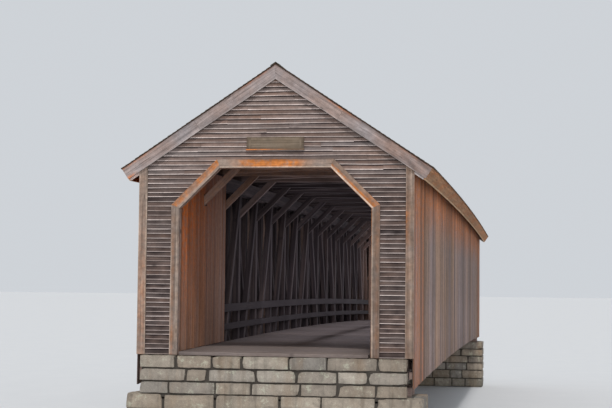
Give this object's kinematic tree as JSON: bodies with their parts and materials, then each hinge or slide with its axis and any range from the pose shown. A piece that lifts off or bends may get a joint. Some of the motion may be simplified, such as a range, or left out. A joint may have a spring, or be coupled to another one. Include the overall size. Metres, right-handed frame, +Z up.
{
  "type": "covered timber truss bridge",
  "caption": "Roofed timber truss bridge with clapboarded gable portals, an eight-sided opening, vertical-board sides and a plank floor, on stone abutments.",
  "frame": {"origin": "middle of the footprint, on the underside of the abutments", "axes": "+X across the roadway, +Y along it (the portal with the name board faces -Y), +Z up"},
  "size_m": [6.93, 36.976, 9.4985],
  "materials": {
    "timber_frame": "rough-sawn weathered timber",
    "clapboard": "unpainted clapboards, weathered grey-brown",
    "side_board": "unpainted vertical boards, weathered grey-brown",
    "trim_board": "weathered trim boards, tan where the grey has worn off",
    "eave_board": "weathered brown eave boards",
    "roof_shingle": "weathered wood shingles with moss",
    "deck_plank": "worn planks",
    "shelter_board": "sheltered boards, warm brown",
    "name_board": "dark plain board",
    "stone": "coursed split stone"
  },
  "bodies": {
    "root": {"abutment_near": "stone", "abutment_far": "stone", "bearing_timbers": "timber_frame", "bottom_chord_left": "timber_frame", "bottom_chord_right": "timber_frame", "top_chord_left": "timber_frame", "top_chord_right": "timber_frame", "truss_posts_left": "timber_frame", "truss_posts_right": "timber_frame", "truss_braces_left": "timber_frame", "truss_braces_right": "timber_frame", "truss_counters_left": "timber_frame", "truss_counters_right": "timber_frame", "floor_beams": "timber_frame", "deck_planks": "deck_plank", "lower_laterals": "timber_frame", "tie_beams": "timber_frame", "knee_braces_left": "timber_frame", "knee_braces_right": "timber_frame", "upper_laterals": "timber_frame", "rafter_plates": "timber_frame", "rafters_left": "timber_frame", "rafters_right": "timber_frame", "roof_left": "roof_shingle", "roof_right": "roof_shingle", "ridge_cap": "roof_shingle", "fascia_left": "eave_board", "fascia_right": "eave_board", "rake_boards_near": "trim_board", "rake_boards_far": "trim_board", "portal_wall_near": "clapboard", "portal_wall_far": "clapboard", "floor_stringers": "timber_frame", "girt_blocks": "timber_frame", "portal_frame_near": "timber_frame", "portal_frame_far": "timber_frame", "portal_trim_near": "trim_board", "portal_trim_far": "trim_board", "name_board_near": "name_board", "side_wall_left": "side_board", "side_wall_right": "side_board", "side_girts_left": "timber_frame", "side_girts_right": "timber_frame", "shelter_panels_near": "shelter_board", "shelter_panels_far": "shelter_board", "guard_rails": "timber_frame"}
  },
  "joints": []
}
